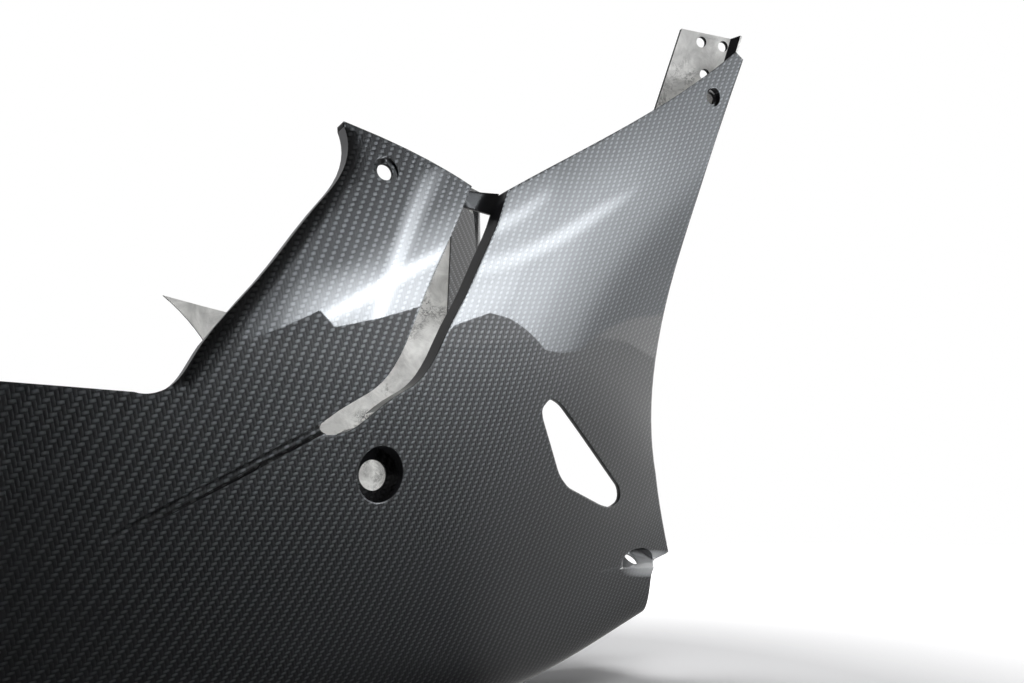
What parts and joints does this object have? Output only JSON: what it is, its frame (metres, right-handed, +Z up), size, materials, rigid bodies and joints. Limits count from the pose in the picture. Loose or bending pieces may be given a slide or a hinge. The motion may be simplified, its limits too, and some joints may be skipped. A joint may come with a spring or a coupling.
{
  "type": "motorcycle belly pan",
  "caption": "Moulded carbon belly pan: open trough hull with upswept side arms, slots, vents and fixing holes.",
  "frame": {"origin": "on the ground plane, under the middle of the pan's bounding box", "axes": "+X to the front of the motorcycle, +Y to its left side, +Z up"},
  "size_m": [0.678, 0.4052, 0.527],
  "materials": {
    "carbon_laminate": "clear-coated twill carbon outside, rough silvery resin inside"
  },
  "bodies": {
    "root": {"pan_shell": "carbon_laminate"}
  },
  "joints": []
}
